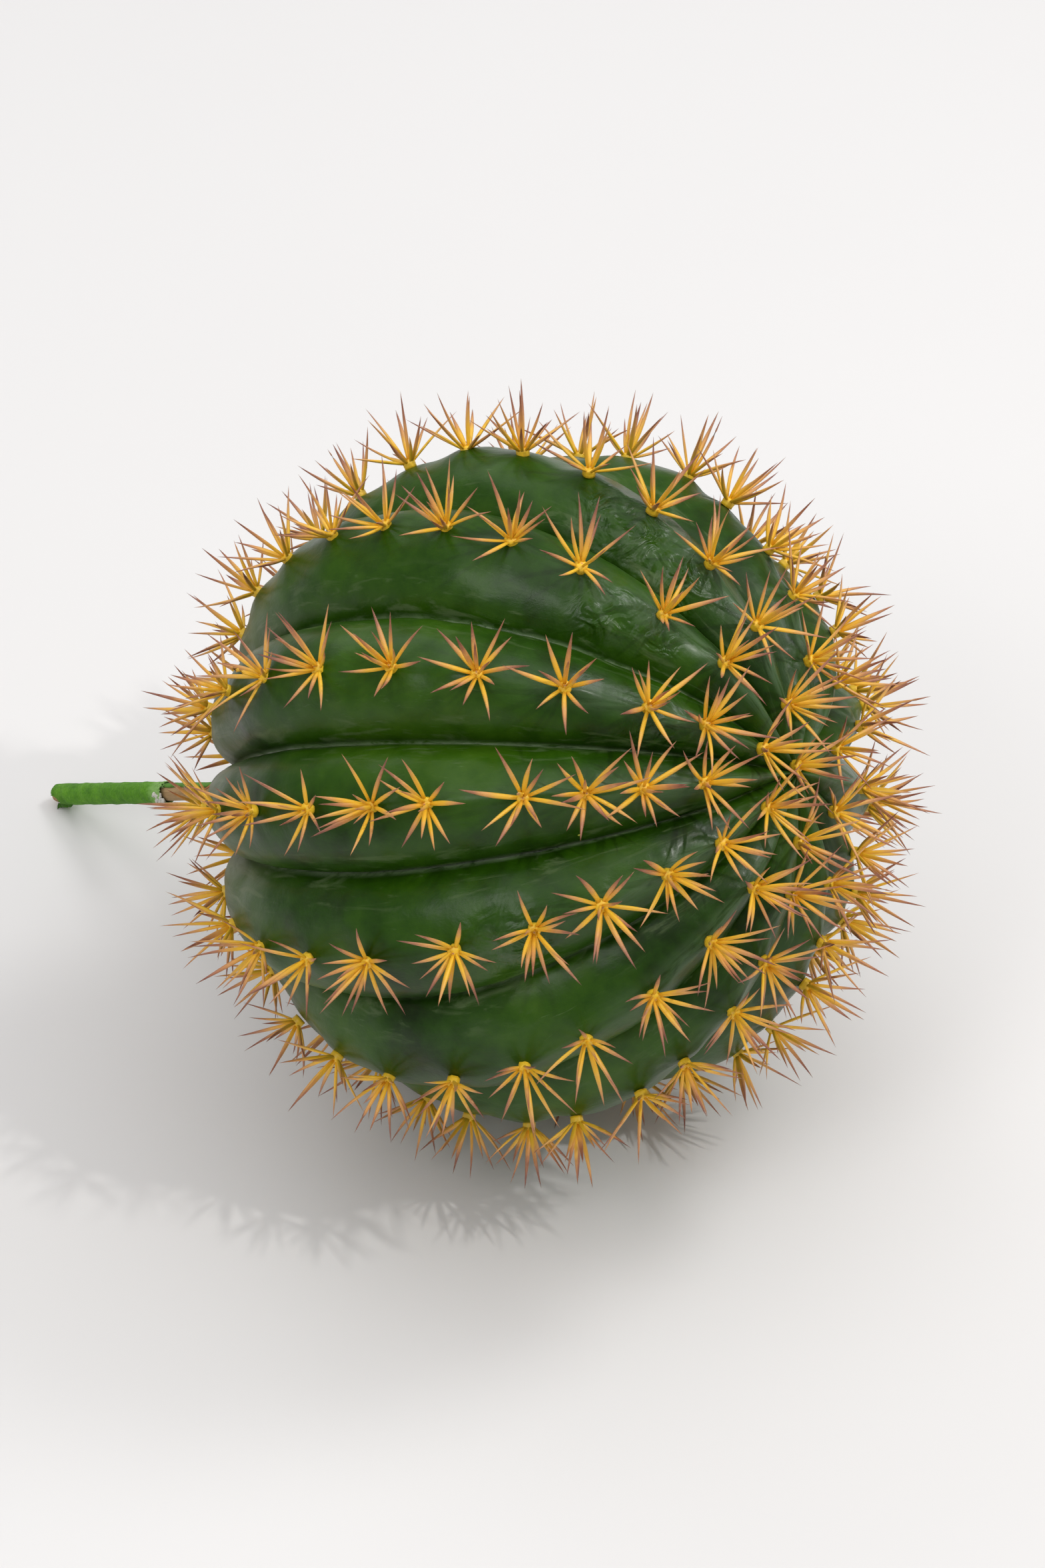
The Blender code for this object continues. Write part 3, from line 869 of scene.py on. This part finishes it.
def build_clusters(material):
    """One piece for each packed run of clusters."""
    draw = random.Random(SPINE_SEED)
    runs = [("spines_apex", [(radians(APEX_CLUSTER), rib_angle(2))])]
    for rib in range(RIB_COUNT):
        spots = [(polar, rib_angle(rib)) for polar in cluster_angles(rib)]
        for part, label in enumerate(RUN_NAMES):
            picked = spots[part * RUN_LENGTH:(part + 1) * RUN_LENGTH]
            runs.append((f"spines_rib_{rib + 1:02d}_{label}", picked))
    for name, spots in runs:
        builder = Builder()
        for polar, azimuth in spots:
            add_cluster(builder, cluster_frame(polar, azimuth), draw)
        piece = builder.piece(f"{name}_moulded", material)
        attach(piece, "root")
        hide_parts(name)


# ---- stick and tape ----

WOOD_SIDES = 28
WOOD_RINGS = 70
WOOD_RADIUS = 2.28
WOOD_PAST_TAPE = 0.7 * MM
# The stick's worn end: distance back from the tip and share of the full radius.
WOOD_TIP = ((0.5 * MM, 0.95), (0.15 * MM, 0.84), (0.0, 0.70))
WOOD_TAPER = 0.9 * MM
KNOT_BEFORE_TAPE = 13 * MM

# The tape: grid, radius, rounding at the stick's end, sheet thickness, and the laps' pitch and step.
TAPE_SEED = 12
TAPE_ROWS = 96
TAPE_COLUMNS = 72
TAPE_BASE = 2.96 * MM
TAPE_CORNER = 0.7 * MM
TAPE_SKIN = 0.22 * MM
TAPE_PITCH = 9.0 * MM
LAP_STEP = 0.16 * MM
# Turns round the stick of the torn opening at its end and of the flap beside it.
WOOD_PATCH = radians(203)
FLAP_TURN = radians(228)

# Loose parts of the tape.
FLAP_ROWS = 6
FLAP_COLUMNS = 22
FLAP_LENGTH = 7.0 * MM
FLAP_REST = 0.1 * MM
STRIP_ROWS = 5
STRIP_COLUMNS = 26
STRIP_LENGTH = 27.0 * MM
STRIP_THICKNESS = 0.16 * MM
FIBRE_COUNT = 46
CRUMB_COUNT = 38
CRUMB_RINGS = 3
CRUMB_SIDES = 6


def stick_frame():
    """Frame at the stick's root: +Z runs out along it and +Y is its upper side. Also its length."""
    root = PLACEMENT @ Vector((0, 0, -STICK_ROOT * BODY_RADIUS))
    flat = cos(STICK_DROP)
    outward = Vector((-flat * cos(STICK_YAW), flat * sin(STICK_YAW), -sin(STICK_DROP)))
    aside = outward.cross(Vector((0, 0, 1))).normalized()
    above = aside.cross(outward).normalized()
    length = (root.z - TAPE_RADIUS * cos(STICK_DROP)) / sin(STICK_DROP)
    rotation = Matrix((aside, above, outward)).transposed().to_4x4()
    return Matrix.Translation(root) @ rotation, length


def build_wood(material):
    """The bare stick, a little uneven, with a worn end."""
    place, length = stick_frame()
    end = length + WOOD_PAST_TAPE
    stations = [(along, 1.0) for along in np.linspace(0, end - WOOD_TAPER, WOOD_RINGS)]
    stations += [(end - back, share) for back, share in WOOD_TIP]
    tape_start = length - TAPE_LENGTH
    vertices, flow, tape_edge_shade = [], [], []
    for along, share in stations:
        knot = 0.10 * np.exp(-((along - tape_start + KNOT_BEFORE_TAPE) / (1.2 * MM)) ** 2)
        edge = np.exp(-(max(0.0, tape_start + 1.0 * MM - along) / (1.3 * MM)) ** 2)
        for side in range(WOOD_SIDES):
            turn = 2 * pi * side / WOOD_SIDES
            uneven = 0.05 * sin(3 * turn + along * 90) + 0.04 * sin(7 * turn - along * 160)
            point = around((WOOD_RADIUS + uneven + knot) * MM * share, turn, along)
            vertices.append(tuple(place @ point))
            flow.append(tuple(point))
            # Painted shade on the wood close to the tape's inner edge.
            tape_edge_shade.append(0.9 * edge * (along < tape_start + 5 * MM))
    faces = list(tube_quads(len(stations), WOOD_SIDES))
    faces.append(tuple(reversed(range(WOOD_SIDES))))
    faces.append(tuple(range(len(vertices) - WOOD_SIDES, len(vertices))))
    piece = new_piece("stick_wood", vertices, faces, material)
    add_vectors(piece, "grain_flow", flow)
    add_values(piece, "tape_edge_shade", tape_edge_shade)
    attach(piece, "root")
    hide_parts("stem_stick")


def turn_gap(turn, centre):
    return abs((turn - centre + pi) % (2 * pi) - pi)


def tape_profile(path, length):
    """Radius and place along the stick at a distance run over the tape and round the stick's end."""
    straight = length - TAPE_CORNER + 0.2 * MM
    if path <= straight:
        return TAPE_BASE, path
    bend = (path - straight) / TAPE_CORNER
    if bend < pi / 2:
        return TAPE_BASE - TAPE_CORNER * (1 - cos(bend)), straight + TAPE_CORNER * sin(bend)
    inward = path - straight - TAPE_CORNER * pi / 2
    return max(0.5 * MM, TAPE_BASE - TAPE_CORNER - inward), straight + TAPE_CORNER


def tape_shells(place, length, draw):
    """Outer and inner points of the wrapped tape, row by row, and how frayed and shaded each is."""
    tape_start = length - TAPE_LENGTH
    ragged = [draw.uniform(-0.5, 0.5) for _ in range(TAPE_COLUMNS)]
    outer, inner, fray, shade = [], [], [], []
    for row in range(TAPE_ROWS + 1):
        share = row / TAPE_ROWS
        for column in range(TAPE_COLUMNS):
            turn = 2 * pi * column / TAPE_COLUMNS
            open_side = np.exp(-(turn_gap(turn, WOOD_PATCH) / radians(50)) ** 6)
            stop = length + 2.2 * MM - open_side * 5.0 * MM + ragged[column] * 0.7 * MM
            start = tape_start + (0.3 + ragged[(column * 5) % TAPE_COLUMNS]) * 0.9 * MM
            path = start + (stop - start) * share
            radius, along = tape_profile(path, length)
            lap = (path / TAPE_PITCH + turn / (2 * pi)) % 1.0
            crinkle = sin(9 * turn + path * 700) + sin(5 * turn - path * 1100)
            crinkle += sin(path * 2300 + 2 * turn)
            radius += LAP_STEP * lap * min(1.0, (1 - lap) * 9) + 0.025 * MM * crinkle
            lifted = 0.30 * MM * np.exp(-((path - start) / (1.4 * MM)) ** 2) * (0.4 + ragged[column])
            radius = min(radius + lifted, TAPE_RADIUS)
            for shell, cut in ((outer, 0.0), (inner, TAPE_SKIN)):
                back = cut * 0.8 if along > length - 0.3 * MM else 0.0
                size = max(radius - cut, 0.2 * MM)
                shell.append(tuple(place @ around(size, turn, along - back)))
            fray.append(max(0.0, 1 - (path - start) / (5.5 * MM)) ** 0.6)
            # Painted shade: darker at the torn end's open side and along each lap's edge.
            shade.append(0.35 * open_side * (share > 0.93) + 0.25 * (lap > 0.93))
    return outer, inner, fray, shade


def build_tape(material, crumbs):
    """The wrapped tape: torn open at one side of the stick's end, frayed at its inner edge."""
    place, length = stick_frame()
    tape_start = length - TAPE_LENGTH
    draw = random.Random(TAPE_SEED)
    builder = Builder()
    outer, inner, fray, shade = tape_shells(place, length, draw)
    count = len(outer)
    builder.vertices = outer + inner
    builder.reach = fray + fray
    builder.tone = shade + shade
    for a, b, c, d in tube_quads(TAPE_ROWS + 1, TAPE_COLUMNS):
        builder.faces.append((a, b, c, d))
        builder.faces.append((count + b, count + a, count + d, count + c))
    last = TAPE_ROWS * TAPE_COLUMNS
    for a in range(TAPE_COLUMNS):
        b = (a + 1) % TAPE_COLUMNS
        builder.faces.append((b, a, count + a, count + b))
        builder.faces.append((last + a, last + b, count + last + b, count + last + a))
    add_flap(builder, place, length, draw)
    add_strip(builder, place, tape_start)
    add_fibres(builder, place, tape_start, draw)
    piece = builder.piece("stick_tape", material)
    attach(piece, "root")
    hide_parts("stem_tape")
    build_crumbs(crumbs, place, tape_start, draw)


def add_sheet(builder, rows, reach, tone):
    """A thin closed sheet from rows of (front, back) point pairs."""
    first = len(builder.vertices)
    width = len(rows[0])
    for pick in (0, 1):
        for row in rows:
            for pair in row:
                builder.vertices.append(tuple(pair[pick]))
                builder.reach.append(reach)
                builder.tone.append(tone)
    layer = len(rows) * width
    for row in range(len(rows) - 1):
        for column in range(width - 1):
            a = first + row * width + column
            quad = (a, a + 1, a + 1 + width, a + width)
            builder.faces.append(quad)
            builder.faces.append(tuple(layer + corner for corner in reversed(quad)))
    edge = [first + column for column in range(width)]
    edge += [first + row * width + width - 1 for row in range(1, len(rows))]
    edge += [first + (len(rows) - 1) * width + column for column in reversed(range(width - 1))]
    edge += [first + row * width for row in reversed(range(1, len(rows) - 1))]
    for place, corner in enumerate(edge):
        following = edge[(place + 1) % len(edge)]
        builder.faces.append((following, corner, corner + layer, following + layer))


def keep_above_floor(point):
    return Vector((point.x, point.y, max(point.z, FLAP_REST)))


def add_flap(builder, place, length, draw):
    """A torn end of tape that hangs from the stick's tip on its lower side."""
    base = 2.55 * MM
    rows = []
    for row in range(FLAP_ROWS):
        line = []
        for column in range(FLAP_COLUMNS):
            share = column / (FLAP_COLUMNS - 1)
            along = length - 7.4 * MM + FLAP_LENGTH * share
            ragged = 1.25 + 0.75 * draw.uniform(-1, 1) * (column % 3 == 0)
            out = row / (FLAP_ROWS - 1) * (ragged * MM * min(1.0, 0.30 + 5 * share))
            turn = FLAP_TURN + 0.05 * sin(share * 9)
            drift = Vector((0.10 * MM * sin(share * 14 + row), 0, 0))
            middle = around(base + out, turn, along) + drift
            thick = Vector((-sin(turn), cos(turn), 0)) * 0.13 * MM
            front, back = place @ (middle + thick), place @ (middle - thick)
            line.append((keep_above_floor(front), keep_above_floor(back)))
        rows.append(line)
    # The flap is tinted toward the tape's painted shade.
    add_sheet(builder, rows, 0.0, 0.85)


def add_strip(builder, place, tape_start):
    """A narrow end of tape that runs on along the top of the bare stick."""
    rows = []
    for row in range(STRIP_ROWS):
        line = []
        for column in range(STRIP_COLUMNS):
            turn = pi / 2 + (row - 2) / 2 * 0.42 + 0.07 * sin(column * 0.9 + row)
            along = tape_start + 1.5 * MM - STRIP_LENGTH * column / (STRIP_COLUMNS - 1)
            radius = (2.50 + 0.04 * sin(column * 1.7)) * MM
            front = around(radius + STRIP_THICKNESS, turn, along)
            line.append((place @ front, place @ around(radius, turn, along)))
        rows.append(line)
    # The strip is tinted a little toward the tape's painted shade.
    add_sheet(builder, rows, 0.15, 0.35)


def add_fibres(builder, place, tape_start, draw):
    """Loose fibres of the torn paper at the tape's inner edge."""
    for _ in range(FIBRE_COUNT):
        turn = draw.uniform(0, 2 * pi)
        along = tape_start + draw.uniform(-0.3, 3.2) * MM
        size = draw.uniform(0.10, 0.26) * MM
        reach = draw.uniform(0.5, 1.5) * MM
        slant = draw.uniform(-0.5, 0.5)
        rings = []
        for share in (0.0, 0.5, 1.0):
            out = 2.75 * MM + reach * share * draw.uniform(0.2, 0.45)
            middle = around(out, turn + slant * share, along - reach * share * 0.9)
            half = size * (1 - 0.75 * share)
            rings.append([tuple(place @ (middle + around(half, a, 0))) for a in (0.3, 2.4, 4.5)])
        builder.ring_surface(rings, [0.95] * 3, 0.0)


def build_crumbs(material, place, tape_start, draw):
    """Crumbs of dried glue on the frayed edge's lower side."""
    vertices, faces = [], []
    for _ in range(CRUMB_COUNT):
        turn = radians(draw.uniform(150, 208))
        along = tape_start + draw.uniform(-0.4, 3.6) * MM
        centre = around(2.95 * MM, turn, along)
        size = draw.uniform(0.24, 0.58) * MM
        first = len(vertices)
        for ring in range(CRUMB_RINGS):
            polar = pi * (ring + 1) / (CRUMB_RINGS + 1)
            for side in range(CRUMB_SIDES):
                offset = around(sin(polar), 2 * pi * side / CRUMB_SIDES, cos(polar))
                vertices.append(tuple(place @ (centre + offset * size * draw.uniform(0.7, 1.25))))
        last = len(vertices) - CRUMB_SIDES
        faces += [(a, d, c, b) for a, b, c, d in tube_quads(CRUMB_RINGS, CRUMB_SIDES, first)]
        faces.append(tuple(first + side for side in range(CRUMB_SIDES)))
        faces.append(tuple(last + side for side in reversed(range(CRUMB_SIDES))))
    piece = new_piece("tape_glue_crumbs", vertices, faces, material)
    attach(piece, "root")


# ---- floor, light and camera ----

CAMERA_AZIMUTH = radians(28.2)
CAMERA_ELEVATION = radians(42)
CAMERA_DISTANCE = 13.8 * BODY_RADIUS
CAMERA_LENS = 106.2
AIM_RIGHT = -0.0363 * BODY_RADIUS
AIM_UP = -0.0041 * BODY_RADIUS

# The key lamp: turn from the camera's right toward the camera, height angle and distance.
KEY_TURN = radians(26)
KEY_HEIGHT = radians(52)
KEY_DISTANCE = 1.5
KEY_SIZE = 0.04
KEY_POWER = 4.7
KEY_COLOUR = (1.0, 0.98, 0.95)
# Soft boxes: metres from the body to the camera's right, toward the camera and up, size and power.
SOFT_BOXES = (
    ("back", -0.60, -1.00, 1.00, 0.90, 2.6),
    ("front", -0.55, 0.75, 1.00, 0.50, 3.3),
    ("rim", 0.80, -0.42, 1.15, 0.40, 4.8),
)
OVERHEAD_SPREAD = radians(70)
OVERHEAD_STRENGTH = 1.02
SURROUNDINGS = rgb(1.0, 0.985, 0.985)
SURROUNDINGS_STRENGTH = 0.35
BACKDROP = rgb(0.80, 0.79, 0.79)
FLOOR_HALF = 6.0


def view_axes():
    """Right, up and back directions of the camera, and its back direction along the floor."""
    right = Vector((cos(CAMERA_AZIMUTH), sin(CAMERA_AZIMUTH), 0))
    level = Vector((sin(CAMERA_AZIMUTH), -cos(CAMERA_AZIMUTH), 0))
    back = level * cos(CAMERA_ELEVATION) + Vector((0, 0, sin(CAMERA_ELEVATION)))
    return right, back.cross(right), back, level


def build_camera():
    right, up, back, _ = view_axes()
    data = bpy.data.cameras.new("camera")
    data.lens = CAMERA_LENS
    data.sensor_width = 36.0
    data.clip_start = 0.05
    data.clip_end = 20.0
    camera = bpy.data.objects.new("camera", data)
    bpy.context.scene.collection.objects.link(camera)
    aim = PLACEMENT.translation + right * AIM_RIGHT + up * AIM_UP
    rotation = Matrix((right, up, back)).transposed().to_4x4()
    camera.matrix_world = Matrix.Translation(aim + back * CAMERA_DISTANCE) @ rotation
    bpy.context.scene.camera = camera


def add_light(name, kind, place, settings):
    """A lamp in a frame, shining along its -Z."""
    data = bpy.data.lights.new(name, kind)
    for setting, value in settings.items():
        setattr(data, setting, value)
    light = bpy.data.objects.new(name, data)
    bpy.context.scene.collection.objects.link(light)
    light.matrix_world = place


def add_area_light(name, spot, aim, size, power, colour=(1, 1, 1)):
    turn = (aim - spot).to_track_quat("-Z", "Y").to_matrix().to_4x4()
    settings = {"shape": "DISK", "size": size, "energy": power, "color": colour}
    add_light(name, "AREA", Matrix.Translation(spot) @ turn, settings)


def build_lights():
    """A small warm lamp on the right, a broad light overhead and three soft boxes."""
    right, _, _, level = view_axes()
    lift = Vector((0, 0, 1))
    body = Vector(PLACEMENT.translation)
    toward = right * cos(KEY_TURN) + level * sin(KEY_TURN)
    key = body + (toward * cos(KEY_HEIGHT) + lift * sin(KEY_HEIGHT)) * KEY_DISTANCE
    add_area_light("key", key, body, KEY_SIZE, KEY_POWER, KEY_COLOUR)
    above = (lift + right * 0.10).to_track_quat("Z", "Y").to_matrix().to_4x4()
    add_light("overhead", "SUN", above, {"energy": OVERHEAD_STRENGTH, "angle": OVERHEAD_SPREAD})
    for name, aside, nearer, higher, size, power in SOFT_BOXES:
        spot = body + level * nearer + right * aside + lift * higher
        add_area_light(name, spot, body, size, power)
    build_world()


def build_world():
    """Dim surroundings, so that the skin stays deep, behind a pale backdrop."""
    world = bpy.data.worlds.new("studio")
    world.use_nodes = True
    nodes = world.node_tree.nodes
    links = world.node_tree.links
    dim = nodes["Background"]
    dim.inputs["Color"].default_value = SURROUNDINGS
    dim.inputs["Strength"].default_value = SURROUNDINGS_STRENGTH
    backdrop = nodes.new("ShaderNodeBackground")
    backdrop.inputs["Color"].default_value = BACKDROP
    seen = nodes.new("ShaderNodeLightPath").outputs["Is Camera Ray"]
    choice = nodes.new("ShaderNodeMixShader")
    links.new(seen, choice.inputs["Fac"])
    links.new(dim.outputs["Background"], choice.inputs[1])
    links.new(backdrop.outputs["Background"], choice.inputs[2])
    links.new(choice.outputs["Shader"], nodes["World Output"].inputs["Surface"])
    bpy.context.scene.world = world


def build_floor(material):
    size = FLOOR_HALF
    corners = [(-size, -size, 0), (size, -size, 0), (size, size, 0), (-size, size, 0)]
    floor = new_piece("floor", corners, [(0, 1, 2, 3)], material)


def main():
    build_skin(skin_material())
    build_clusters(spine_material())
    build_wood(wood_material())
    build_tape(tape_material(), crumb_material())
    build_floor(floor_material())
    build_lights()
    build_camera()
    bpy.context.scene.view_settings.view_transform = "Standard"


main()
bpy.context.view_layer.update()
